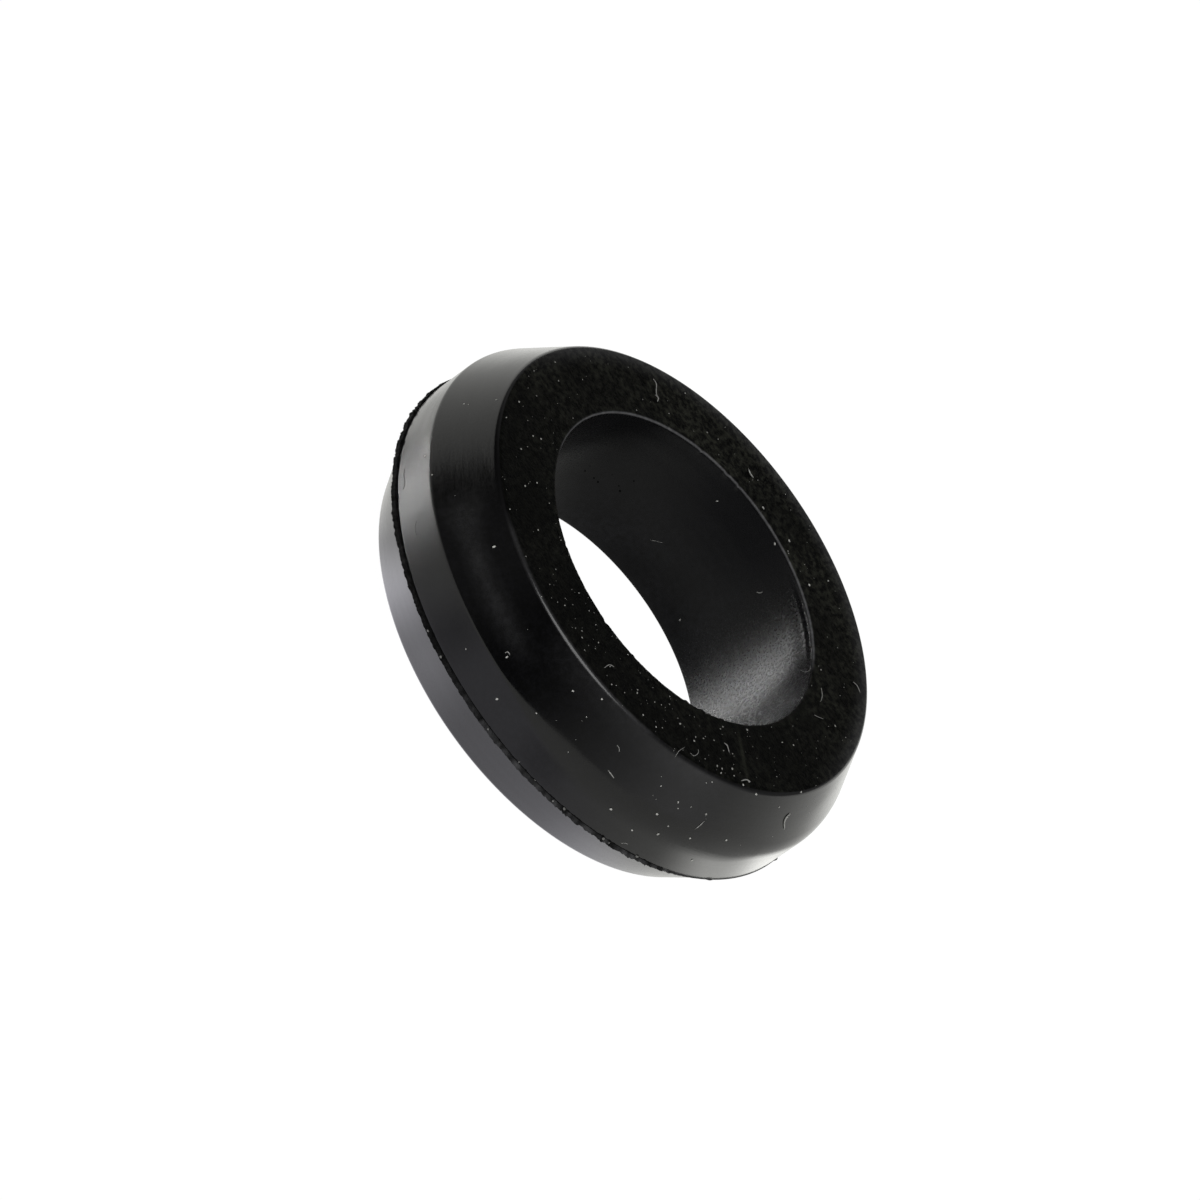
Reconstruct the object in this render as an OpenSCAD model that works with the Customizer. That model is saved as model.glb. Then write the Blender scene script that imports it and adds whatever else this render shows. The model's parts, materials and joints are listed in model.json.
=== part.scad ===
// Moulded rubber washer: a ring with flat faces, a bevel on both outer edges
// and the thin ragged fin that the mould's parting line leaves round the band.

/* [Ring] */
// Diameter of the bore
bore_d = 12.2; // [8:0.1:14]
// Thickness from face to face
thickness = 6; // [5:0.1:10]
// Diameter of the straight band round the middle
band_d = 19.85; // [19.5:0.05:24]

/* [Bevels] */
// Outer diameter of each flat face, where face and bevel would meet in a sharp edge
face_d = 17.5; // [16:0.1:19]
// Height of the bevel between each face and the band
bevel_h = 2.15; // [0.8:0.05:2.3]

/* [Edges] */
// Rounding of the outer edge of each face
face_edge_r = 0.25; // [0.05:0.05:0.5]
// Rounding of the crease between bevel and band
crease_r = 0.2; // [0.05:0.05:0.5]
// Rounding of both ends of the bore
bore_edge_r = 0.1; // [0.05:0.05:0.3]

/* [Parting fin] */
// Thickness of the fin at its root
fin_t = 0.2; // [0.1:0.02:0.4]
// Mean reach of the fin past the band
fin_reach = 0.09; // [0.06:0.01:0.3]
// How far the torn edge of the fin wanders in and out
fin_tear = 0.03; // [0:0.005:0.05]
// Number of steps in the torn edge
fin_steps = 240; // [120:20:360]

/* [Hidden] */
$fn = 180;
bore_r = bore_d / 2;
band_r = band_d / 2;
face_r = face_d / 2;
arc_steps = 6;
// The mould parts at the lower edge of the band
parting_z = bevel_h;
// Length of bevel that the fin's root covers
fin_root_w = 1;

function unit(v) = v / norm(v);

// Arc of radius r that rounds the corner b of the path a, b, c
function rounded(a, b, c, r) =
    let (
        u = unit(a - b),
        v = unit(c - b),
        half = acos(u * v) / 2,
        centre = b + unit(u + v) * r / sin(half),
        first = b + u * r / tan(half) - centre,
        turn = sign(cross(first, b - centre)) * (180 - 2 * half)
    )
    [for (i = [0:arc_steps])
        let (t = turn * i / arc_steps)
        centre + [
            first.x * cos(t) - first.y * sin(t),
            first.x * sin(t) + first.y * cos(t)
        ]
    ];

// Each corner of the half section as [radius, height, rounding]
section = [
    [bore_r, 0, bore_edge_r],
    [face_r, 0, face_edge_r],
    [band_r, bevel_h, crease_r],
    [band_r, thickness - bevel_h, crease_r],
    [face_r, thickness, face_edge_r],
    [bore_r, thickness, bore_edge_r]
];

// Rounded outline of the half section
function outline(s) = [
    for (i = [0:len(s) - 1])
        let (
            a = s[(i + len(s) - 1) % len(s)],
            b = s[i],
            c = s[(i + 1) % len(s)]
        )
        for (p = rounded([a[0], a[1]], [b[0], b[1]], [c[0], c[1]], b[2])) p
];

// Reach of the torn edge at angle a: slow waves with short ripples on them
function tear(a) =
    0.45 * sin(5 * a + 40) + 0.3 * sin(13 * a) + 0.15 * sin(37 * a + 110) + 0.1 * sin(71 * a);

module ring() {
    rotate_extrude()
        polygon(outline(section));
}

module parting_fin() {
    translate([0, 0, parting_z - fin_t / 2])
        linear_extrude(fin_t)
            difference() {
                polygon([
                    for (i = [0:fin_steps - 1])
                        let (
                            a = 360 * i / fin_steps,
                            r = band_r + fin_reach + fin_tear * tear(a)
                        )
                        r * [cos(a), sin(a)]
                ]);
                circle(r = band_r - fin_root_w);
            }
}

module washer() {
    color([0.05, 0.05, 0.055])
        union() {
            ring();
            parting_fin();
        }
}

washer();
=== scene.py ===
import json
import math
import random

import bpy
import numpy as np
from mathutils import Matrix, Vector, noise
from mathutils.bvhtree import BVHTree


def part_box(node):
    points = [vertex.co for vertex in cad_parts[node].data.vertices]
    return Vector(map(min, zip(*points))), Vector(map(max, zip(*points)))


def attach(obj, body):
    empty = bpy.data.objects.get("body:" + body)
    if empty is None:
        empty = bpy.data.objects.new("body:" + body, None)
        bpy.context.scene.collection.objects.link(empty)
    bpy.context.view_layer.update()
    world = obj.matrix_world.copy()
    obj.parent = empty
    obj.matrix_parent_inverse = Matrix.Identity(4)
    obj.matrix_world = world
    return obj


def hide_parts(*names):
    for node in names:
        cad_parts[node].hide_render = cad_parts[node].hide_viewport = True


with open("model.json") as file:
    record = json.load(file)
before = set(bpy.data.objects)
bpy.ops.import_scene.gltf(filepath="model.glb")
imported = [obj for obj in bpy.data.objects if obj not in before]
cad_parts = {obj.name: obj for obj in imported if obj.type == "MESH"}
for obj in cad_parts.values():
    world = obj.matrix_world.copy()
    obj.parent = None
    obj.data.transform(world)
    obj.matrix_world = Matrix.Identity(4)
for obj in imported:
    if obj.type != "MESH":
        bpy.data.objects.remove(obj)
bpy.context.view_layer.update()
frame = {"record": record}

# ---------------------------------------------------------------- driving sizes
MM = 0.001
NODE_LOW, NODE_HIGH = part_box("washer")
HEIGHT = NODE_HIGH.z - NODE_LOW.z
BORE_R = next(m for m in frame["record"]["mounts"] if m["name"] == "bore")["dims"]["r_mm"] * MM
BAND_R = 9.925 * MM
FACE_R = 8.75 * MM
BEVEL_H = 2.15 * MM
FACE_EDGE_R = 0.25 * MM
CREASE_R = 0.2 * MM
BORE_EDGE_R = 0.1 * MM
FIN_T = 0.2 * MM
FIN_REACH = 0.09 * MM

# ---------------------------------------------------------------- wear of this one washer, and light painted on it
# A place round the ring is its first and last azimuth and the fade past them, in degrees.
# Azimuth 0 is nearest the camera, and 90 is at the right.
SOFT_CREASE_R = 2.6 * MM
SOFT_AT = (18, 58, 24)
HALF_SOFT_AT = (58, 110, 30)

# the torn fin: how far the tear wanders, how much more where it is the most ragged, its rise
# as a share of its reach, the reach of its thin upper edge, and where the fin is cut back
FIN_TEAR = 0.035 * MM
RAGGED_MORE = 0.9
RAGGED_AT = (12, 50, 15)
TEAR_RISE = 0.7
FIN_TAPER = 0.7
TRIM = 0.7
TRIMMED_AT = (62, 125, 18)
CREVICE = 0.04 * MM
# share of the fin's thickness that is cut away, by azimuth
FIN_CUT = [(-180, 0.3), (-90, 0), (-45, 0.15), (0, 0.35), (20, 0.5), (40, 0.45), (55, 0.75),
           (65, 0.85), (120, 0.85), (180, 0.3)]
# where what is left of the fin is as smooth as the bevel
FIN_SMOOTH = (52, 135)

# the bore's front rim: a shallow groove under it, and its raggedness, which peaks at one
# azimuth and falls to a share of that at the far side
GROOVE = 0.028 * MM
GROOVE_AT = 137
GROOVE_SPAN = 24
JAG = 0.02 * MM
JAG_AT = 20
JAG_FAR = 0.35
# stations down the bore's wall under the rim: depth in mm, and how far each one follows the
# groove and the ragged rim; the wall is plain from RIM_DEPTH on
RIM_STATIONS = [
    (0.13, 1, 0.4), (0.20, 0.7, 0.1), (0.27, 0.35, 0), (0.33, 0, 0), (0.37, -0.15, 0),
    (0.41, 0, 0),
]
RIM_DEPTH = 0.5 * MM

# noise round the ring: strength, scale and layer of each term
TEAR_OUT = [(0.5, 3, 1.7), (0.7, 14, 4.1), (1.0, 45, 8.3), (1.3, 110, 2.9)]
TEAR_UP = [(0.6, 20, 6.4), (1.2, 90, 9.2)]
RIM_JAG = [(0.7, 30, 5.5), (0.8, 80, 7.7)]

# paler places, each with its strength and its place round the ring: painted highlights on the
# bore's rim and the front outer edge, the face paler along its border inside it, a painted
# reflection band and painted light in a hem on the cone, and real wear on the fin
RIM_HIGHLIGHT, RIM_AT = 0.95, (128, 285, 12)
LINE_HIGHLIGHT, LINE_AT = 0.14, (-28, 22, 8)
BORDER_PALE, BORDER_AT = 0.38, (110, 250, 30)
SHEEN_BAND_LIFT, SHEEN_BAND_AT = 0.08, (-34, -13, 13)
HEM_SHEEN, HEM_AT = 0.06, (5, 38, 15)
FIN_WEAR, FIN_AT = 0.18, (8, 60, 25)
# distances at which the painted highlights of the rim and of the line start to fade, and end
RIM_FADE = (0.035 * MM, 0.075 * MM)
LINE_FADE = (0.05 * MM, 0.13 * MM)
BORDER_W = 0.8 * MM
HEM_W = 0.6 * MM
HEM_LAP = 0.06 * MM
# the radius of the painted reflection band on the cone, its half width, and how much wider it
# is further left
SHEEN_BAND_R = 9.45 * MM
SHEEN_BAND_W = 0.24 * MM
SHEEN_BAND_WIDER = 0.4 * MM
SHEEN_BAND_WIDE_AT = (-75, -45, 18)

# ---------------------------------------------------------------- camera
FRAME_PX = 1200
FOCAL_PX = 8000
SENSOR_MM = 36
PX_PER_MM = 29.355
FACE_CENTRE_PX = (686.3, 567.5)
ELEVATION = math.radians(32.234)
AXIS_SLANT = math.radians(35.4)

# ---------------------------------------------------------------- mesh density
# shares of the way along a flat at which it gets a station
FLAT = (0.03, 0.5, 0.97)
CONE = (0.02, 0.14, 0.28, 0.42, 0.56, 0.7, 0.85, 0.98)
AZIMUTHS = 1280

# ---------------------------------------------------------------- marks, by pixel of the frame
# lumps of the torn edge: pixel, half width in degrees, reach and rise in mm
TEAR_LUMPS_PX = [
    ((396, 498), 1.6, 0.06, 0.05),
    ((392, 511), 0.5, 0.04, 0.0),
    ((421, 403), 0.9, 0.05, 0.02),
    ((411, 411), 0.8, 0.05, 0.02),
    ((398, 440), 0.9, 0.05, 0.03),
    ((712, 880), 1.2, 0.03, 0.0),
    ((780, 861), 1.2, 0.04, 0.0),
]
# nicks and crumbs of the bore's front edge: pixel, half width in degrees, depth in mm
RIM_MARKS_PX = [
    ((608, 620), 1.6, 0.06),
    ((566, 545), 1.2, 0.04),
    ((636, 652), 1.0, -0.03),
    ((687, 697), 1.4, -0.06),
    ((702, 708), 1.6, -0.05),
    ((722, 718), 1.8, -0.04),
    ((702, 452), 0.9, -0.06),
    ((727, 474), 1.5, -0.05),
    ((738, 488), 0.9, -0.05),
]
# ends of a faint rubbed streak across the front face, its half width and strength
SMEAR_PX = ((737, 724), (749, 788))
SMEAR_WIDTH = 0.12 * MM
SMEAR_LIFT = 0.7
# specks of dust: pixel and radius in mm
SPECKS_PX = [
    ((464, 404), 0.035), ((496, 400), 0.035), ((519, 402), 0.05), ((534, 371), 0.03),
    ((425, 456), 0.03), ((432, 475), 0.04), ((521, 449), 0.04), ((533, 436), 0.035),
    ((541, 439), 0.04), ((525, 486), 0.045), ((537, 483), 0.04), ((538, 530), 0.04),
    ((494, 547), 0.065), ((763, 508), 0.06), ((775, 544), 0.065), ((789, 541), 0.06),
    ((809, 585), 0.06), ((828, 581), 0.05), ((717, 501), 0.05), ((680, 620), 0.045),
    ((507, 657), 0.055), ((466, 649), 0.03), ((497, 699), 0.06), ((573, 691), 0.05),
    ((602, 699), 0.045), ((611, 809), 0.065), ((632, 830), 0.05), ((637, 693), 0.05),
    ((656, 727), 0.04), ((643, 715), 0.04), ((680, 724), 0.055), ((694, 741), 0.05),
    ((732, 769), 0.055), ((717, 766), 0.05), ((722, 769), 0.045), ((721, 773), 0.045),
    ((747, 730), 0.045), ((743, 785), 0.05), ((756, 794), 0.06), ((801, 792), 0.045),
    ((835, 726), 0.045), ((802, 698), 0.05), ((678, 802), 0.05), ((706, 814), 0.055),
    ((657, 814), 0.06), ((658, 834), 0.06), ((690, 838), 0.05), ((726, 840), 0.055),
    ((692, 860), 0.055), ((661, 786), 0.035), ((691, 807), 0.035), ((779, 807), 0.04),
    ((668, 826), 0.04), ((712, 782), 0.035), ((787, 817), 0.05),
]
# crumbs on the torn edge: pixel and radius in mm
CRUMBS_PX = [
    ((428, 631), 0.045), ((441, 657), 0.05), ((488, 729), 0.04), ((519, 762), 0.04),
    ((535, 780), 0.04), ((553, 801), 0.045), ((564, 809), 0.06), ((603, 839), 0.06),
    ((637, 856), 0.075), ((609, 843), 0.03),
]
# fibres of lint: the pixels that each passes through, and its radius in mm
FIBRES_PX = [
    (((653, 379), (656, 384), (656, 393), (658, 399)), 0.02),
    (((655, 395), (658, 398), (657, 402)), 0.025),
    (((748, 469), (750, 474), (753, 478)), 0.03),
    (((757, 592), (760, 593), (763, 592)), 0.03),
    (((505, 653), (508, 652), (510, 655)), 0.02),
    (((617, 745), (619, 748), (619, 752)), 0.014),
    (((608, 770), (611, 774), (614, 778)), 0.022),
    (((604, 668), (609, 665), (614, 667)), 0.018),
    (((675, 757), (679, 751), (685, 747)), 0.011),
    (((690, 753), (694, 756), (698, 753), (698, 749)), 0.012),
    (((724, 743), (727, 746), (729, 753)), 0.022),
    (((741, 781), (746, 780), (750, 782)), 0.028),
    (((814, 715), (818, 717), (823, 719)), 0.012),
    (((821, 688), (822, 695), (821, 701)), 0.016),
    (((853, 682), (857, 686), (860, 693)), 0.016),
    (((800, 670), (805, 672), (809, 671), (811, 668)), 0.013),
    (((790, 813), (786, 817), (784, 822), (784, 829)), 0.034),
    (((704, 821), (700, 825), (695, 829)), 0.018),
    (((621, 843), (625, 843), (628, 844)), 0.012),
    (((650, 540), (656, 541), (663, 543)), 0.009),
]
# dark flecks of rubber inside the bore: pixel and radius in mm
FLECKS_PX = [
    ((585, 471), 0.05), ((598, 482), 0.06), ((594, 478), 0.05), ((620, 491), 0.075),
    ((619, 486), 0.05), ((634, 481), 0.05), ((612, 475), 0.03), ((590, 466), 0.03),
]
# dark threads of rubber, the wrinkles on the band: as for the fibres
THREADS_PX = [
    (((405, 468), (404, 475), (405, 483), (403, 490)), 0.012),
    (((417, 520), (415, 528), (417, 536)), 0.008),
]
# what is built, as a share of the radii above
SPECK_SHARE = 0.78
CRUMB_SHARE = 1.0
FLECK_SHARE = 0.6
FIBRE_SHARE = 0.8
# height of a lint fibre's axis over the surface, as a share of its radius
LINT_LIFT = 0.7
# fine dust scattered at random over the upper side: how many, the azimuth where it is
# thickest, its share at the far side and on the cone, the least radius, and how much more
# the largest has
SEED = 11
FINE_SPECKS = 260
FINE_AT = 35
FINE_LEAST = 0.25
FINE_ON_CONE = 0.35
FINE_R = 0.01 * MM
FINE_R_MORE = 0.018 * MM


def photo_camera():
    """Camera at the photograph's viewing angle, rolled so that the ring's axis leans right."""
    forward = Vector((0, math.cos(ELEVATION), -math.sin(ELEVATION)))
    rise = Vector((0, math.sin(ELEVATION), math.cos(ELEVATION)))
    side = Vector((1, 0, 0))
    right = math.cos(AXIS_SLANT) * rise + math.sin(AXIS_SLANT) * side
    up = math.sin(AXIS_SLANT) * rise - math.cos(AXIS_SLANT) * side
    off_x = (FACE_CENTRE_PX[0] - FRAME_PX / 2) / FOCAL_PX
    off_y = (FRAME_PX / 2 - FACE_CENTRE_PX[1]) / FOCAL_PX
    distance = FOCAL_PX / PX_PER_MM * MM
    place = Vector((0, 0, HEIGHT)) - distance * (forward + off_x * right + off_y * up)
    turn = Matrix((right, up, -forward)).transposed().to_4x4()
    data = bpy.data.cameras.new("camera")
    data.sensor_width = SENSOR_MM
    data.lens = FOCAL_PX / FRAME_PX * SENSOR_MM
    data.clip_start = 0.01
    data.clip_end = 5
    camera = bpy.data.objects.new("camera", data)
    camera.matrix_world = Matrix.Translation(place) @ turn
    bpy.context.scene.collection.objects.link(camera)
    bpy.context.scene.camera = camera
    return camera


def pixel_ray(camera, px, py):
    """Origin and direction of the ray through a pixel of the 1200 px frame."""
    local = Vector((px - FRAME_PX / 2, FRAME_PX / 2 - py, -FOCAL_PX)).normalized()
    return camera.matrix_world.translation.copy(), camera.matrix_world.to_3x3() @ local


# ---------------------------------------------------------------- section of the ring
def rounded(a, b, c, r, steps):
    """Arc of radius r that rounds the corner b of the path a, b, c; r 0 keeps the corner."""
    a, b, c = (Vector(p) for p in (a, b, c))
    if r == 0:
        return [b]
    u = (a - b).normalized()
    v = (c - b).normalized()
    half = u.angle(v) / 2
    centre = b + (u + v).normalized() * r / math.sin(half)
    first = b + u * r / math.tan(half) - centre
    reach = b - centre
    side = first.x * reach.y - first.y * reach.x
    turn = math.copysign(math.pi - 2 * half, side)
    points = []
    for i in range(steps + 1):
        t = turn * i / steps
        points.append(centre + Vector((
            first.x * math.cos(t) - first.y * math.sin(t),
            first.x * math.sin(t) + first.y * math.cos(t),
        )))
    return points


def section(crease_r):
    """Stations round the half section as (radius, height, part, weights).

    part names the surface that leaves the station. The weights say how far it follows the
    torn edge, the cut of the fin, the closing of the crevice, the groove under the bore's
    rim, and the ragged rim itself."""
    bevel_slope = (BAND_R - FACE_R) / BEVEL_H
    low_z = BEVEL_H - FIN_T / 2
    top_z = BEVEL_H + FIN_T / 2
    root_r = BAND_R - bevel_slope * FIN_T / 2
    tear_r = BAND_R + FIN_REACH * FIN_TAPER
    plain = (0, 0, 0, 0, 0)
    # corner, rounding, arc steps, part after it, shares of the way to the next, weights
    corners = [
        ((BORE_R, 0), BORE_EDGE_R, 3, "face", FLAT, plain),
        ((FACE_R, 0), FACE_EDGE_R, 4, "bevel", FLAT, plain),
        ((root_r, low_z), 0.015 * MM, 1, "fin", (0.5,), plain),
        ((BAND_R + FIN_REACH, low_z), 0.012 * MM, 2, "fin", (0.3, 0.7), (1, 0, 0, 0, 0)),
        ((tear_r, top_z), 0.02 * MM, 2, "fin", (0.5,), (0.8, 1, 0, 0, 0)),
        ((BAND_R - CREVICE, top_z + 0.02 * MM), 0.01 * MM, 1, "fin", (), (0.3, 1, 1, 0, 0)),
        ((BAND_R, top_z + 0.06 * MM), 0.02 * MM, 2, "band", FLAT, (0, 1, 0, 0, 0)),
        ((BAND_R, HEIGHT - BEVEL_H), crease_r, 6, "cone", CONE, plain),
        ((FACE_R, HEIGHT), FACE_EDGE_R, 5, "face", (0.04, 0.5), plain),
        ((FACE_R - BORDER_W, HEIGHT), 0, 0, "face", (0.96,), plain),
        ((BORE_R, HEIGHT), BORE_EDGE_R, 5, "bore", (), (0, 0, 0, 0, 1)),
        *[
            ((BORE_R, HEIGHT - depth * MM), 0, 0, "bore", (), (0, 0, 0, ditch, ragged))
            for depth, ditch, ragged in RIM_STATIONS
        ],
        ((BORE_R, HEIGHT - RIM_DEPTH), 0, 0, "bore", (0.5, 0.97), plain),
    ]
    stations = []
    for i, (corner, r, steps, part, shares, weights) in enumerate(corners):
        before = corners[i - 1]
        after = corners[(i + 1) % len(corners)]
        following = corners[(i + 2) % len(corners)]
        arc = rounded(before[0], corner, after[0], r, steps)
        for j, p in enumerate(arc):
            # the first half of an arc belongs to the surface that it leaves
            owner = part if j >= len(arc) // 2 else before[3]
            stations.append((p.x, p.y, owner, weights))
        start = arc[-1]
        end = rounded(corner, after[0], following[0], after[1], after[2])[0]
        for t in shares:
            p = start.lerp(end, t)
            mixed = tuple(a + (b - a) * t for a, b in zip(weights, after[5]))
            stations.append((p.x, p.y, part, mixed))
    return stations


def ring_noise(azimuth, scale, layer):
    """Smooth noise, -1 to 1, that closes on itself round the ring."""
    return noise.noise(Vector((math.sin(azimuth) * scale, math.cos(azimuth) * scale, layer)))


def bell(azimuth, centre, half_width):
    """1 at the centre, fading to 0 at half_width, for azimuths in radians."""
    gap = (azimuth - centre + math.pi) % (2 * math.pi) - math.pi
    return max(0.0, 1 - (gap / half_width) ** 2) ** 2


def plane_point(camera, pixel, height):
    """Where a pixel's ray meets the level plane at a height."""
    start, way = pixel_ray(camera, *pixel)
    return start + way * (height - start.z) / way.z


def pixel_azimuth(camera, pixel, height):
    """Azimuth in radians of the point that a pixel shows at a height."""
    hit = plane_point(camera, pixel, height)
    return math.atan2(hit.x, -hit.y)


def layered(azimuth, terms):
    """Ring noises added up, each with its strength."""
    return sum(strength * ring_noise(azimuth, scale, layer) for strength, scale, layer in terms)


def stretch(azimuth, first, last, fade):
    """1 between two azimuths, first to last in degrees, with a soft fade past each end."""
    middle = math.radians((first + last) / 2)
    gap = abs((azimuth - middle + math.pi) % (2 * math.pi) - math.pi)
    over = (math.degrees(gap) - (last - first) / 2) / fade
    t = min(max(1 - over, 0.0), 1.0)
    return t * t * (3 - 2 * t)


def fin_cut(azimuth):
    """Share of the fin's thickness that is missing at an azimuth in radians."""
    degrees = (math.degrees(azimuth) + 180) % 360 - 180
    return float(np.interp(degrees, *zip(*FIN_CUT)))


def softness(azimuth):
    """How soft the crease is, 0 to 1: crisp at the left and worn at the near side."""
    return max(stretch(azimuth, *SOFT_AT), 0.5 * stretch(azimuth, *HALF_SOFT_AT))


def ring_wander(camera, azimuths):
    """Departures from the plain section round the ring: tear out and up, cut, groove, rim."""
    lumps = [
        (pixel_azimuth(camera, pixel, BEVEL_H), math.radians(width), out * MM, up * MM)
        for pixel, width, out, up in TEAR_LUMPS_PX
    ]
    marks = [
        (pixel_azimuth(camera, pixel, HEIGHT), math.radians(width), depth * MM)
        for pixel, width, depth in RIM_MARKS_PX
    ]
    rows = []
    for a in azimuths:
        trim = stretch(a, *TRIMMED_AT)
        cut = fin_cut(a)
        tear = FIN_TEAR * (1 + RAGGED_MORE * stretch(a, *RAGGED_AT))
        out = tear * layered(a, TEAR_OUT) * (1 - trim) - FIN_REACH * TRIM * trim
        up = TEAR_RISE * tear * layered(a, TEAR_UP) * (1 - cut)
        out += sum(bell(a, at, w) * o for at, w, o, u in lumps)
        up += sum(bell(a, at, w) * u for at, w, o, u in lumps)
        near = JAG_FAR + (1 - JAG_FAR) * max(0.0, math.cos(a - math.radians(JAG_AT)))
        rim = JAG * near * layered(a, RIM_JAG) + sum(bell(a, at, w) * d for at, w, d in marks)
        groove = GROOVE * bell(a, math.radians(GROOVE_AT), math.radians(GROOVE_SPAN))
        rows.append((out, up, cut, groove, rim))
    return np.array(rows).T


def fading(distance, start, end):
    """1 up to a distance, straight down to 0 at another."""
    return np.clip((end - distance) / (end - start), 0, 1)


def edge_sheen_and_wear(azimuths, radius, height):
    """How pale each point is made, 0 to 1: painted highlights, painted reflection, painted
    light, the face's paler border and the fin's real wear; one row for each azimuth.
    """
    on_face = height > HEIGHT - 0.1 * MM
    on_cone = height > HEIGHT - BEVEL_H
    on_fin = (abs(height - BEVEL_H) < 0.13 * MM) * (radius > BAND_R - 0.1 * MM)
    # painted highlight: the bore's rounded front rim made paler, most at the far side
    rim = fading(np.hypot(radius - BORE_R, height - HEIGHT), *RIM_FADE)
    # painted highlight on the front outer edge near the camera, on top of the softbox's real
    # highlight there
    line = fading(np.hypot(radius - FACE_R, height - HEIGHT), *LINE_FADE)
    # the face paler along its outer border, at the far side
    border = fading(FACE_R - radius, 0, BORDER_W) ** 2 * on_face
    # painted light: the cone made paler along the face's edge
    hem = fading(radius - FACE_R, 0, HEM_W) * on_cone * (radius > FACE_R - HEM_LAP)
    # painted reflection: a paler band round the middle of the cone
    wider = np.array([stretch(a, *SHEEN_BAND_WIDE_AT) for a in azimuths])[:, None]
    spread = SHEEN_BAND_W + SHEEN_BAND_WIDER * wider
    sheen_band = np.clip(1 - ((radius - SHEEN_BAND_R) / spread) ** 2, 0, 1) ** 2 * on_cone
    # the painted reflection band and the fin's wear come in patches
    at_sheen_band = [stretch(a, *SHEEN_BAND_AT) * (1 + 0.6 * ring_noise(a, 9, 3.3)) for a in azimuths]
    at_fin = [stretch(a, *FIN_AT) * (1 + 1.6 * ring_noise(a, 60, 6.6)) for a in azimuths]
    sheen_and_wear = SHEEN_BAND_LIFT * np.array(at_sheen_band)[:, None] * sheen_band
    sheen_and_wear += FIN_WEAR * np.outer(at_fin, on_fin)
    for strength, place, shape in (
        (HEM_SHEEN, HEM_AT, hem),
        (RIM_HIGHLIGHT, RIM_AT, rim),
        (LINE_HIGHLIGHT, LINE_AT, line),
        (BORDER_PALE, BORDER_AT, border),
    ):
        sheen_and_wear += strength * np.outer([stretch(a, *place) for a in azimuths], shape)
    return sheen_and_wear


def build_ring(camera, materials):
    """The whole washer as one closed mesh, one material slot for each surface."""
    crisp, worn = section(CREASE_R), section(SOFT_CREASE_R)
    crisp_r, worn_r = (np.array([s[0] for s in stations]) for stations in (crisp, worn))
    crisp_z, worn_z = (np.array([s[1] for s in stations]) for stations in (crisp, worn))
    tear, thin, close, ditch, ragged = np.array([s[3] for s in crisp], float).T
    azimuths = np.linspace(0, 2 * math.pi, AZIMUTHS, endpoint=False)
    soft = np.array([softness(a) for a in azimuths])[:, None]
    out, up, cut, groove, rim = ring_wander(camera, azimuths)
    r = crisp_r * (1 - soft) + worn_r * soft
    r += np.outer(out, tear) + np.outer(groove, ditch) + np.outer(rim, ragged)
    r += np.outer(cut * CREVICE, close)
    z = crisp_z * (1 - soft) + worn_z * soft
    z += np.outer(up, tear) - np.outer(cut * FIN_T, thin)
    x = r * np.sin(azimuths)[:, None]
    y = -r * np.cos(azimuths)[:, None]
    points = np.stack([x, y, z], -1).reshape(-1, 3)
    # where the fin is trimmed, what is left of it is as smooth as the bevel
    trimmed = [stretch(a, *FIN_SMOOTH, 1) > 0.5 for a in azimuths]
    count = len(crisp)
    faces = []
    owners = []
    for i in range(AZIMUTHS):
        here, there = i * count, (i + 1) % AZIMUTHS * count
        for j in range(count):
            k = (j + 1) % count
            faces.append((here + j, there + j, there + k, here + k))
            part = crisp[j][2]
            owners.append("bevel" if part == "fin" and trimmed[i] else part)
    mesh = bpy.data.meshes.new("washer_ring")
    mesh.from_pydata(points.tolist(), [], faces)
    slots = ["face", "bevel", "band", "cone", "fin", "bore"]
    for name in slots:
        mesh.materials.append(materials[name])
    mesh.polygons.foreach_set("material_index", [slots.index(o) for o in owners])
    mesh.polygons.foreach_set("use_smooth", [True] * len(faces))
    # the paler share of each point: painted highlights, painted reflection and painted light,
    # with real wear on the fin
    sheen_and_wear = mesh.attributes.new("sheen_and_wear", "FLOAT", "POINT")
    sheen_and_wear.data.foreach_set("value", edge_sheen_and_wear(azimuths, crisp_r, crisp_z).ravel().tolist())
    mesh.validate()
    mesh.update()
    ring = bpy.data.objects.new("washer_ring", mesh)
    bpy.context.scene.collection.objects.link(ring)
    return ring


# ---------------------------------------------------------------- materials
# the pale colour of painted highlights, painted reflection and painted light, and of real wear
SHEEN_AND_WEAR_COLOUR = (0.15, 0.15, 0.155)
MOTTLE_SIZE = 0.22 * MM
PATCH_SIZE = 2.6 * MM
# streaks and waves round the turn: units a turn, units a metre across it, and detail
LINES = (6.0, 9.0 / MM, 3.0)
WAVES = (1.6, 1.1 / MM, 1.0)
# how much of the radius counts, with the height, as the way across them
RADIUS_COUNTS = 0.7


def new_material(name):
    """Material with a bare Principled shader: the material, its node tree and the shader."""
    material = bpy.data.materials.new(name)
    material.use_nodes = True
    nodes = material.node_tree.nodes
    nodes.clear()
    output = nodes.new("ShaderNodeOutputMaterial")
    shader = nodes.new("ShaderNodeBsdfPrincipled")
    material.node_tree.links.new(shader.outputs["BSDF"], output.inputs["Surface"])
    return material, material.node_tree, shader


def add(tree, kind, **values):
    """New node with its properties and input sockets set by name."""
    node = tree.nodes.new(kind)
    for key, value in values.items():
        if hasattr(node, key):
            setattr(node, key, value)
        else:
            node.inputs[key.replace("_", " ")].default_value = value
    return node


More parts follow.
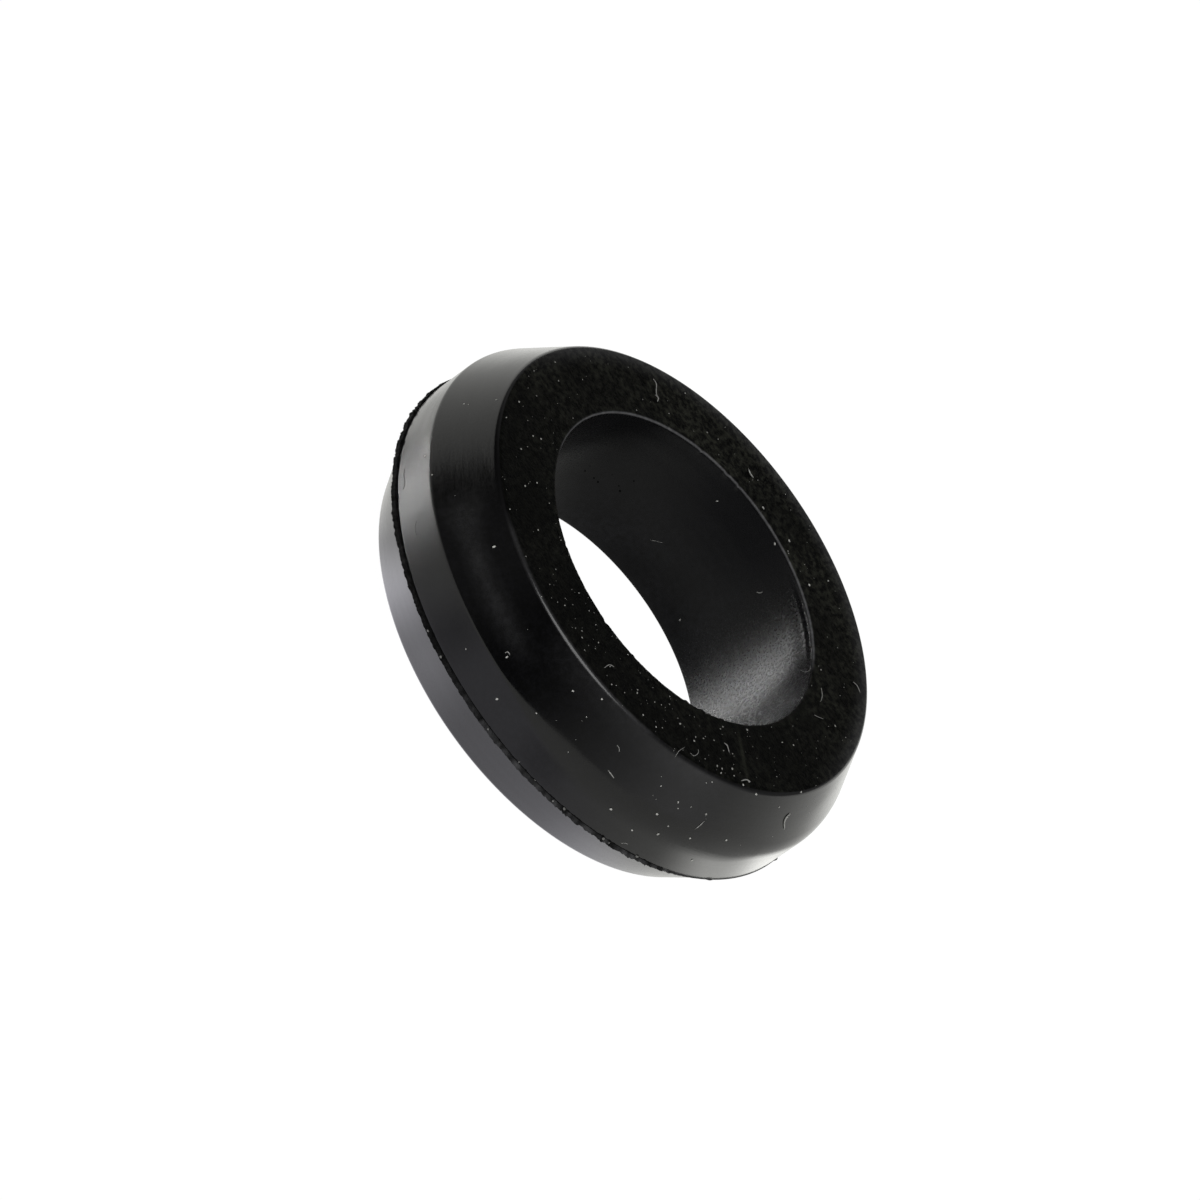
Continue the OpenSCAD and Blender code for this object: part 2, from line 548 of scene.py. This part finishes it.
def math_node(tree, operation, first, second=None):
    """Output of a Math node whose inputs are sockets or numbers."""
    node = tree.nodes.new("ShaderNodeMath")
    node.operation = operation
    for socket, value in zip(node.inputs, (first, second)):
        if value is None:
            continue
        if isinstance(value, bpy.types.NodeSocket):
            tree.links.new(value, socket)
        else:
            socket.default_value = value
    return node.outputs[0]


def mix_colour(tree, factor, first, second):
    """Output of a colour mix: factor is a socket, the colours are sockets or triples."""
    node = add(tree, "ShaderNodeMix", data_type="RGBA")
    for name, value in (("Factor", factor), ("A", first), ("B", second)):
        if isinstance(value, bpy.types.NodeSocket):
            tree.links.new(value, node.inputs[name])
        else:
            node.inputs[name].default_value = (*value, 1)
    return node.outputs["Result"]


def ramp(tree, value, low, high, to_low=0.0, to_high=1.0):
    """Straight map of low..high to to_low..to_high, held at both ends."""
    node = add(tree, "ShaderNodeMapRange")
    tree.links.new(value, node.inputs["Value"])
    node.inputs["From Min"].default_value = low
    node.inputs["From Max"].default_value = high
    node.inputs["To Min"].default_value = to_low
    node.inputs["To Max"].default_value = to_high
    return node.outputs["Result"]


def noise_node(tree, where, size, detail, roughness):
    """Noise whose coarsest grains have about the given size in metres."""
    node = add(tree, "ShaderNodeTexNoise", Scale=1 / size, Detail=detail, Roughness=roughness)
    tree.links.new(where, node.inputs["Vector"])
    return node.outputs["Fac"]


def turned_noise(tree, where, around, across, detail):
    """Noise drawn out round the ring: around in units a turn, across in units a metre."""
    split = add(tree, "ShaderNodeSeparateXYZ")
    tree.links.new(where, split.inputs[0])
    x, y, z = split.outputs
    squares = [math_node(tree, "MULTIPLY", axis, axis) for axis in (x, y)]
    radius = math_node(tree, "SQRT", math_node(tree, "ADD", *squares))
    along = math_node(tree, "ADD", z, math_node(tree, "MULTIPLY", radius, RADIUS_COUNTS))
    turned = add(tree, "ShaderNodeCombineXYZ")
    for socket, axis in zip(turned.inputs, (x, y)):
        way = math_node(tree, "DIVIDE", axis, radius)
        tree.links.new(math_node(tree, "MULTIPLY", way, around), socket)
    tree.links.new(math_node(tree, "MULTIPLY", along, across), turned.inputs[2])
    lines = add(tree, "ShaderNodeTexNoise", Scale=1.0, Detail=detail, Roughness=0.6)
    tree.links.new(turned.outputs[0], lines.inputs["Vector"])
    return lines.outputs["Fac"]


def streak_mask(tree, where, first, last):
    """Soft streak on the front face between two points, 0 to SMEAR_LIFT."""
    middle = (first + last) / 2
    way = last - first
    fit = add(tree, "ShaderNodeMapping", vector_type="TEXTURE")
    fit.inputs["Location"].default_value = (middle.x, middle.y, HEIGHT)
    fit.inputs["Rotation"].default_value = (0, 0, math.atan2(way.y, way.x))
    fit.inputs["Scale"].default_value = (way.length * 0.6, SMEAR_WIDTH, MM)
    tree.links.new(where, fit.inputs["Vector"])
    gap = add(tree, "ShaderNodeVectorMath", operation="LENGTH")
    tree.links.new(fit.outputs["Vector"], gap.inputs[0])
    return ramp(tree, gap.outputs["Value"], 0.3, 1.0, SMEAR_LIFT, 0.0)


def rubber(name, dark, pale, rough, gloss, grain, grain_size, ior=1.36, streak=0.0, swell=0.0,
           pale_slope=None, smear=None, mottling=(0.44, 0.62)):
    """Black rubber: mottled colour, roughness and bump from grain, streaks round the turn.

    grain, streak and swell are bump depths. film is how the pale share of the mottling
    changes along an axis: the axis, its two ends and the share at each. smear is the two
    ends of a faint rubbed streak. mottling is the part of the noise that goes from dark to
    pale: a wide one is a weak mottling."""
    material, tree, shader = new_material(name)
    link = tree.links.new
    where = add(tree, "ShaderNodeTexCoord").outputs["Object"]
    fine = noise_node(tree, where, grain_size, 5.0, 0.65)
    mottle = noise_node(tree, where, MOTTLE_SIZE, 6.0, 0.7)
    patch = noise_node(tree, where, PATCH_SIZE, 3.0, 0.5)
    lines = turned_noise(tree, where, *LINES)
    waves = turned_noise(tree, where, *WAVES)
    patches = ramp(tree, patch, 0.32, 0.68, 0.25, 1.0)
    cloud = math_node(tree, "MULTIPLY", ramp(tree, mottle, *mottling), patches)
    if pale_slope:
        split = add(tree, "ShaderNodeSeparateXYZ")
        link(where, split.inputs[0])
        shade = ramp(tree, split.outputs[pale_slope[0]], *pale_slope[1:])
        cloud = math_node(tree, "MULTIPLY", cloud, shade)
    if smear:
        cloud = math_node(tree, "ADD", cloud, streak_mask(tree, where, *smear))
    colour = mix_colour(tree, cloud, dark, pale)
    # paled where the mesh says: painted highlights, painted reflection and painted light, and
    # real wear on the fin
    sheen_and_wear = add(tree, "ShaderNodeAttribute", attribute_name="sheen_and_wear").outputs["Fac"]
    paled = math_node(tree, "MULTIPLY", sheen_and_wear, ramp(tree, mottle, 0.3, 0.7, 0.5, 1.0))
    link(mix_colour(tree, paled, colour, SHEEN_AND_WEAR_COLOUR), shader.inputs["Base Color"])
    even = ramp(tree, fine, 0.3, 0.7, *rough)
    dulled = math_node(tree, "ADD", even, math_node(tree, "MULTIPLY", paled, 0.25))
    link(dulled, shader.inputs["Roughness"])
    relief = math_node(tree, "MULTIPLY", fine, grain / MM)
    for height, depth in ((lines, streak), (waves, swell)):
        if depth:
            part = math_node(tree, "MULTIPLY", height, depth / MM)
            relief = math_node(tree, "ADD", relief, part)
    bump = add(tree, "ShaderNodeBump", Strength=1.0, Distance=MM)
    link(relief, bump.inputs["Height"])
    link(bump.outputs["Normal"], shader.inputs["Normal"])
    shader.inputs["IOR"].default_value = ior
    shader.inputs["Specular IOR Level"].default_value = gloss
    return material


def dust(name, dark, pale, grain_size):
    """Dull pale matter: dust, crumbs and lint."""
    material, tree, shader = new_material(name)
    where = add(tree, "ShaderNodeTexCoord").outputs["Object"]
    fine = noise_node(tree, where, grain_size, 4.0, 0.6)
    colour = mix_colour(tree, ramp(tree, fine, 0.3, 0.7), dark, pale)
    tree.links.new(colour, shader.inputs["Base Color"])
    tree.links.new(ramp(tree, fine, 0.3, 0.7, 0.7, 1.0), shader.inputs["Roughness"])
    bump = add(tree, "ShaderNodeBump", Strength=1.0, Distance=0.01 * MM)
    tree.links.new(fine, bump.inputs["Height"])
    tree.links.new(bump.outputs["Normal"], shader.inputs["Normal"])
    shader.inputs["IOR"].default_value = 1.4
    return material


def make_materials(camera):
    """Every material of the washer and of what lies on it, by name."""
    smear = [plane_point(camera, pixel, HEIGHT) for pixel in SMEAR_PX]
    return {
        "face": rubber(
            "rubber_face", dark=(0.0001, 0.0002, 0.0001), pale=(0.017, 0.0175, 0.0135),
            rough=(0.5, 0.75), gloss=0.06, grain=0.034 * MM, grain_size=0.1 * MM, ior=1.4,
            # the face paler towards the far side
            pale_slope=("Y", -9 * MM, 9 * MM, 0.3, 1.7), smear=smear),
        "bevel": rubber(
            "rubber_bevel", dark=(0.0006, 0.0006, 0.0008), pale=(0.0025, 0.0025, 0.003),
            rough=(0.15, 0.22), gloss=0.5, grain=0.0014 * MM, grain_size=0.14 * MM,
            streak=0.0004 * MM, swell=0.005 * MM),
        "band": rubber(
            "rubber_band", dark=(0.0006, 0.0006, 0.0008), pale=(0.0028, 0.0028, 0.0034),
            rough=(0.14, 0.22), gloss=0.5, grain=0.0014 * MM, grain_size=0.12 * MM,
            streak=0.0022 * MM, swell=0.02 * MM),
        "cone": rubber(
            "rubber_cone", dark=(0.0003, 0.0003, 0.0004), pale=(0.0024, 0.0024, 0.003),
            rough=(0.14, 0.21), gloss=0.5, grain=0.0014 * MM, grain_size=0.12 * MM,
            streak=0.0024 * MM, swell=0.02 * MM),
        "fin": rubber(
            "rubber_torn", dark=(0.001, 0.001, 0.001), pale=(0.012, 0.012, 0.012),
            rough=(0.7, 0.95), gloss=0.1, grain=0.02 * MM, grain_size=0.05 * MM, ior=1.4),
        "bore": rubber(
            "rubber_bore", dark=(0.0015, 0.0015, 0.002), pale=(0.022, 0.0225, 0.026),
            rough=(0.22, 0.32), gloss=0.5, grain=0.0027 * MM, grain_size=0.1 * MM,
            streak=0.0004 * MM, swell=0.02 * MM,
            # painted light: the bore's wall paler towards the bottom, where light comes in
            # through its lower opening
            pale_slope=("Z", 0, 4.2 * MM, 1.1, 0.18), mottling=(0.3, 0.75)),
        "dust": dust("dust", (0.16, 0.16, 0.15), (0.6, 0.6, 0.57), 0.05 * MM),
        "lint": dust("lint", (0.14, 0.14, 0.135), (0.42, 0.42, 0.4), 0.08 * MM),
        "crumb": dust("crumb", (0.05, 0.05, 0.048), (0.2, 0.2, 0.19), 0.05 * MM),
    }


# ---------------------------------------------------------------- dust and lint
# a grain: its rings and sides, how far it is drawn out, how uneven it is, and its height and
# its lift off the surface as shares of its radius
FLECK_RINGS = 4
FLECK_SIDES = 7
FLECK_STRETCH = (0.8, 1.4)
FLECK_UNEVEN = (0.75, 1.15)
FLECK_HEIGHT = 0.55
FLECK_LIFT = 0.25
# a fibre: its sides, the steps between two of its knots, and how thick its ends are
FIBRE_SIDES = 6
FIBRE_STEPS = 6
FIBRE_END = 0.35


def seat(tree, camera, pixel):
    """Point and outward normal where a pixel's ray meets the ring, or None off the ring."""
    start, way = pixel_ray(camera, *pixel)
    point, normal, _, _ = tree.ray_cast(start, way)
    if point is None:
        return None
    return point, normal if normal.dot(way) < 0 else -normal


def fleck(points, faces, centre, normal, radius, dice):
    """One irregular grain, flattened on to the surface and sunk a little into it."""
    first = len(points)
    across = normal.orthogonal().normalized()
    along = normal.cross(across)
    spin = dice.uniform(0, math.pi)
    across, along = (
        across * math.cos(spin) + along * math.sin(spin),
        along * math.cos(spin) - across * math.sin(spin),
    )
    stretch_x = dice.uniform(*FLECK_STRETCH)
    rings, sides = FLECK_RINGS, FLECK_SIDES
    for i in range(rings + 1):
        tilt = math.pi * i / rings
        for j in range(sides if 0 < i < rings else 1):
            turn = 2 * math.pi * j / sides
            size = radius * dice.uniform(*FLECK_UNEVEN)
            points.append(
                centre
                + across * (size * stretch_x * math.sin(tilt) * math.cos(turn))
                + along * (size / stretch_x * math.sin(tilt) * math.sin(turn))
                + normal * (size * FLECK_HEIGHT * math.cos(tilt) + radius * FLECK_LIFT)
            )
    last = len(points) - 1
    for j in range(sides):
        k = (j + 1) % sides
        faces.append((first, first + 1 + j, first + 1 + k))
        for i in range(rings - 2):
            here = first + 1 + i * sides
            faces.append((here + j, here + sides + j, here + sides + k, here + k))
        faces.append((last, last - sides + k, last - sides + j))


def fibre(points, faces, path, radius):
    """A tapering tube along a path of points."""
    sides = FIBRE_SIDES
    first = len(points)
    across = None
    for i, p in enumerate(path):
        before = path[max(i - 1, 0)]
        after = path[min(i + 1, len(path) - 1)]
        way = (after - before).normalized()
        # the frame is carried along the path, so that the tube doesn't twist
        if across is None:
            across = way.orthogonal().normalized()
        else:
            across = (across - way * across.dot(way)).normalized()
        along = way.cross(across)
        fullness = math.sin(math.pi * i / (len(path) - 1)) ** 0.5
        taper = FIBRE_END + (1 - FIBRE_END) * fullness
        for j in range(sides):
            t = 2 * math.pi * j / sides
            points.append(p + (across * math.cos(t) + along * math.sin(t)) * radius * taper)
    for i in range(len(path) - 1):
        here = first + i * sides
        for j in range(sides):
            k = (j + 1) % sides
            faces.append((here + j, here + k, here + sides + k, here + sides + j))
    faces.append(tuple(first + j for j in reversed(range(sides))))
    faces.append(tuple(len(points) - sides + j for j in range(sides)))


def smooth_path(knots, steps):
    """Catmull-Rom curve through the knots."""
    ends = [2 * knots[0] - knots[1], *knots, 2 * knots[-1] - knots[-2]]
    path = []
    for a, b, c, d in zip(ends, ends[1:], ends[2:], ends[3:]):
        for i in range(steps):
            t = i / steps
            path.append(0.5 * (
                2 * b + (c - a) * t + (2 * a - 5 * b + 4 * c - d) * t * t
                + (3 * b - a - 3 * c + d) * t ** 3
            ))
    path.append(knots[-1])
    return path


def make_piece(name, points, faces, material, smooth):
    """One object out of points and faces, riding on the washer."""
    mesh = bpy.data.meshes.new(name)
    mesh.from_pydata([tuple(p) for p in points], [], faces)
    mesh.materials.append(material)
    mesh.polygons.foreach_set("use_smooth", [smooth] * len(faces))
    mesh.validate()
    mesh.update()
    piece = bpy.data.objects.new(name, mesh)
    bpy.context.scene.collection.objects.link(piece)
    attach(piece, "root")


def scatter(tree, dice):
    """Fine dust over the upper side of the ring, thickest near the camera: seat and radius."""
    grains = []
    while len(grains) < FINE_SPECKS:
        azimuth = dice.uniform(-math.pi, math.pi)
        reach = dice.uniform(BORE_R + 0.1 * MM, BAND_R - 0.05 * MM)
        near = max(0.0, math.cos(azimuth - math.radians(FINE_AT))) ** 2
        thick = FINE_LEAST + (1 - FINE_LEAST) * near
        if reach > FACE_R:
            thick *= FINE_ON_CONE
        if dice.random() > thick:
            continue
        start = Vector((reach * math.sin(azimuth), -reach * math.cos(azimuth), 2 * HEIGHT))
        point, normal, _, _ = tree.ray_cast(start, Vector((0, 0, -1)))
        size = FINE_R + FINE_R_MORE * dice.random() ** 3
        grains.append((point, normal, size))
    return grains


def add_grains(points, faces, marks, share, tree, camera, dice):
    """Grains at the pixels of the marks, with a share of their radii."""
    for pixel, radius in marks:
        found = seat(tree, camera, pixel)
        if found:
            fleck(points, faces, *found, radius * share * MM, dice)


def make_fibres(name, fibres, lift, tree, camera, material):
    """Fibres that lie along the surface, lifted by a share of their radius."""
    points, faces = [], []
    for pixels, radius in fibres:
        knots = [Vector((*pixel, 0)) for pixel in pixels]
        found = [seat(tree, camera, (p.x, p.y)) for p in smooth_path(knots, FIBRE_STEPS)]
        path = [point + normal * radius * lift * MM for point, normal in filter(None, found)]
        if len(path) > 3:
            fibre(points, faces, path, radius * FIBRE_SHARE * MM)
    make_piece(name, points, faces, material, True)


def add_dust(camera, ring, materials):
    """Named specks, crumbs and fibres where the photograph shows them, and fine dust."""
    dice = random.Random(SEED)
    tree = BVHTree.FromObject(ring, bpy.context.evaluated_depsgraph_get())
    points, faces = [], []
    add_grains(points, faces, SPECKS_PX, SPECK_SHARE, tree, camera, dice)
    for point, normal, radius in scatter(tree, dice):
        fleck(points, faces, point, normal, radius, dice)
    make_piece("dust_specks", points, faces, materials["dust"], False)
    for name, marks, share, material, smooth in (
        ("torn_crumbs", CRUMBS_PX, CRUMB_SHARE, "crumb", False),
        ("rubber_flecks", FLECKS_PX, FLECK_SHARE, "fin", True),
    ):
        points, faces = [], []
        add_grains(points, faces, marks, share, tree, camera, dice)
        make_piece(name, points, faces, materials[material], smooth)
    make_fibres("lint_fibres", FIBRES_PX, LINT_LIFT, tree, camera, materials["lint"])
    make_fibres("rubber_threads", THREADS_PX, 0.0, tree, camera, materials["fin"])


# ---------------------------------------------------------------- light and floor
FLOOR_R = 300 * MM
FLOOR_FLAT_MM = (20, 40, 80, 140, 200)
BEND_R = 40 * MM
BEND_STEPS = 6
WALL_H = 50 * MM
FLOOR_SIDES = 96
FLOOR_DROP = 0.02 * MM

# the floor's glow, and what it is never dimmer than
FLOOR_GLOW = 1.0
FLOOR_LEAST = 0.03
# its colour in reflections: a little bluer round this pool than elsewhere
WARM = (1.0, 1.0, 0.965)
COOL = (0.99, 0.98, 1.05)
COOL_POOL = ((0.0, -10.0), (10.0, 13.0), 0.5, 1.0)
# Pools are centre and radii in mm, core, and strength: bright stretches left, right and near
# the ring, dimmer ones in front and behind, and shade on the floor inside the bore.
FLOOR_POOLS = [
    ((-13.2, -0.8), (3.2, 3.2), 0, 0.45),
    ((-5.5, -7.6), (2.5, 2.5), 0, 1.3),
    ((12.8, -3.0), (4.0, 4.0), 0, 1.65),
    ((12.8, 2.0), (4.0, 4.0), 0, 1.6),
    ((6.5, -7.0), (3.0, 3.0), 0, 0.25),
    ((-2.8, -9.0), (3.0, 2.2), 0, 0.6),
    ((-5.5, -13.8), (3.5, 3.0), 0, -0.4),
    ((5.0, -14.0), (3.5, 3.0), 0, -0.35),
    ((14.0, 13.0), (8.0, 8.0), 0, 0.43),
    ((-14.0, 13.0), (8.0, 8.0), 0, 0.22),
    ((0.0, 0.0), (7.5, 7.5), 0.8, -0.62),
    ((0.0, -2.5), (5.5, 4.0), 0.3, -0.22),
    ((0.0, 5.0), (7.0, 2.6), 0, -0.18),
    ((2.5, 5.0), (3.0, 1.6), 0, -0.1),
]
# azimuth and elevation in degrees, sharpness and strength
SKY_LOBES = [
    (80, 12, 8, 1.12),
    (40, 20, 8, 0.39),
    (-45, 15, 8, 0.17),
    (180, 5, 20, 0.25),
    (138, 28, 12, 0.3),
    (-138, 28, 12, 0.3),
    (-70, 47, 14, 0.25),
]
SKY_BASE = 0.003
# azimuth and elevation in degrees, distance and size in metres, and power in watts
SOFTBOX = (0, 68, 0.4, 0.26, 1.0)
# azimuth, elevation and width in degrees, and strength: nested suns that make one soft light,
# which comes up through the floor
GLOWS = [
    (-97, -31, 18, 0.16),
    (-97, -31, 34, 0.42),
    (-97, -31, 52, 0.52),
]


def light_table(floor_material):
    """A pale floor that turns up into a low wall, lit from below like a light table."""
    rings = [(r * MM, 0) for r in FLOOR_FLAT_MM]
    for i in range(BEND_STEPS + 1):
        t = math.pi / 2 * i / BEND_STEPS
        rings.append((FLOOR_R - BEND_R + BEND_R * math.sin(t), BEND_R - BEND_R * math.cos(t)))
    rings.append((FLOOR_R, WALL_H))
    points = [(0, 0, 0)]
    for r, z in rings:
        for i in range(FLOOR_SIDES):
            a = 2 * math.pi * i / FLOOR_SIDES
            points.append((r * math.cos(a), r * math.sin(a), z))
    faces = [(0, 1 + i, 1 + (i + 1) % FLOOR_SIDES) for i in range(FLOOR_SIDES)]
    for j in range(len(rings) - 1):
        here, there = 1 + j * FLOOR_SIDES, 1 + (j + 1) * FLOOR_SIDES
        for i in range(FLOOR_SIDES):
            k = (i + 1) % FLOOR_SIDES
            faces.append((here + i, there + i, there + k, here + k))
    mesh = bpy.data.meshes.new("floor")
    mesh.from_pydata(points, [], faces)
    mesh.polygons.foreach_set("use_smooth", [True] * len(faces))
    mesh.materials.append(floor_material)
    floor = bpy.data.objects.new("floor", mesh)
    floor.location.z = -FLOOR_DROP
    # lets the glow from below shine up through it
    floor.visible_shadow = False
    bpy.context.scene.collection.objects.link(floor)


def pool(tree, where, centre, radii, core, strength):
    """A soft oval pool of light on the floor, none past its radii.

    It keeps its strength out to the core, a share of the radii."""
    fit = add(tree, "ShaderNodeMapping", vector_type="TEXTURE")
    fit.inputs["Location"].default_value = (centre[0] * MM, centre[1] * MM, 0)
    fit.inputs["Scale"].default_value = (radii[0] * MM, radii[1] * MM, 1)
    tree.links.new(where, fit.inputs["Vector"])
    gap = add(tree, "ShaderNodeVectorMath", operation="LENGTH")
    tree.links.new(fit.outputs["Vector"], gap.inputs[0])
    fade = add(tree, "ShaderNodeMapRange", interpolation_type="SMOOTHSTEP")
    fade.inputs["From Min"].default_value = core
    fade.inputs["To Min"].default_value = strength
    fade.inputs["To Max"].default_value = 0
    tree.links.new(gap.outputs["Value"], fade.inputs["Value"])
    return fade.outputs["Result"]


def table_material():
    """The glowing floor: evenly white to the camera, with its pools in reflections only."""
    material, tree, shader = new_material("light_table")
    link = tree.links.new
    where = add(tree, "ShaderNodeTexCoord").outputs["Object"]
    total = None
    for centre, radii, core, strength in FLOOR_POOLS:
        one = pool(tree, where, centre, radii, core, strength)
        total = one if total is None else math_node(tree, "ADD", total, one)
    total = math_node(tree, "MAXIMUM", math_node(tree, "ADD", total, FLOOR_GLOW), FLOOR_LEAST)
    seen = add(tree, "ShaderNodeLightPath").outputs["Is Camera Ray"]
    tint = mix_colour(tree, pool(tree, where, *COOL_POOL), WARM, COOL)
    link(mix_colour(tree, seen, tint, (1, 1, 1)), shader.inputs["Emission Color"])
    even = add(tree, "ShaderNodeMix", data_type="FLOAT")
    link(seen, even.inputs["Factor"])
    link(total, even.inputs["A"])
    even.inputs["B"].default_value = 1.0
    shader.inputs["Base Color"].default_value = (0.02, 0.02, 0.02, 1)
    shader.inputs["Roughness"].default_value = 1
    shader.inputs["IOR"].default_value = 1
    link(even.outputs["Result"], shader.inputs["Emission Strength"])
    return material


def direction(azimuth, elevation):
    """Unit vector towards an azimuth and elevation in degrees."""
    a, e = math.radians(azimuth), math.radians(elevation)
    return Vector((math.sin(a) * math.cos(e), -math.cos(a) * math.cos(e), math.sin(e)))


def sky():
    """World light as soft lobes over an even base."""
    world = bpy.data.worlds.new("studio")
    bpy.context.scene.world = world
    world.use_nodes = True
    tree = world.node_tree
    back = tree.nodes["Background"]
    way = add(tree, "ShaderNodeTexCoord").outputs["Generated"]
    total = None
    for azimuth, elevation, sharpness, strength in SKY_LOBES:
        dot = add(tree, "ShaderNodeVectorMath", operation="DOT_PRODUCT")
        tree.links.new(way, dot.inputs[0])
        dot.inputs[1].default_value = direction(azimuth, elevation)
        lit = math_node(tree, "MAXIMUM", dot.outputs["Value"], 0.0)
        lobe = math_node(tree, "MULTIPLY", math_node(tree, "POWER", lit, sharpness), strength)
        total = lobe if total is None else math_node(tree, "ADD", total, lobe)
    tree.links.new(math_node(tree, "ADD", total, SKY_BASE), back.inputs["Strength"])
    back.inputs["Color"].default_value = (1, 1, 1, 1)


def place_lamp(data, azimuth, elevation, distance):
    """Lamp at a distance in a direction, aimed back at the origin."""
    way = direction(azimuth, elevation)
    light = bpy.data.objects.new(data.name, data)
    light.location = way * distance
    light.rotation_mode = "QUATERNION"
    light.rotation_quaternion = way.to_track_quat("Z", "Y")
    bpy.context.scene.collection.objects.link(light)


def softbox(azimuth, elevation, distance, size, power):
    """Round area lamp above the washer."""
    data = bpy.data.lights.new("softbox", "AREA")
    data.shape = "DISK"
    data.size = size
    data.energy = power
    place_lamp(data, azimuth, elevation, distance)


def glow(azimuth, elevation, width, strength):
    """Wide sun that shines up through the floor.

    The floor is in the way of the rays that a glossy surface sends out to find a lamp, so
    the glow is only sampled from its own side."""
    data = bpy.data.lights.new("glow", "SUN")
    data.angle = math.radians(width)
    data.energy = strength
    data.cycles.use_multiple_importance_sampling = False
    place_lamp(data, azimuth, elevation, 0)


# ---------------------------------------------------------------- scene
scene = bpy.context.scene
scene.view_settings.view_transform = "Standard"
scene.view_settings.look = "None"
camera = photo_camera()
materials = make_materials(camera)
ring = build_ring(camera, materials)
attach(ring, "root")
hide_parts("washer")
add_dust(camera, ring, materials)
light_table(table_material())
sky()
softbox(*SOFTBOX)
for lamp in GLOWS:
    glow(*lamp)
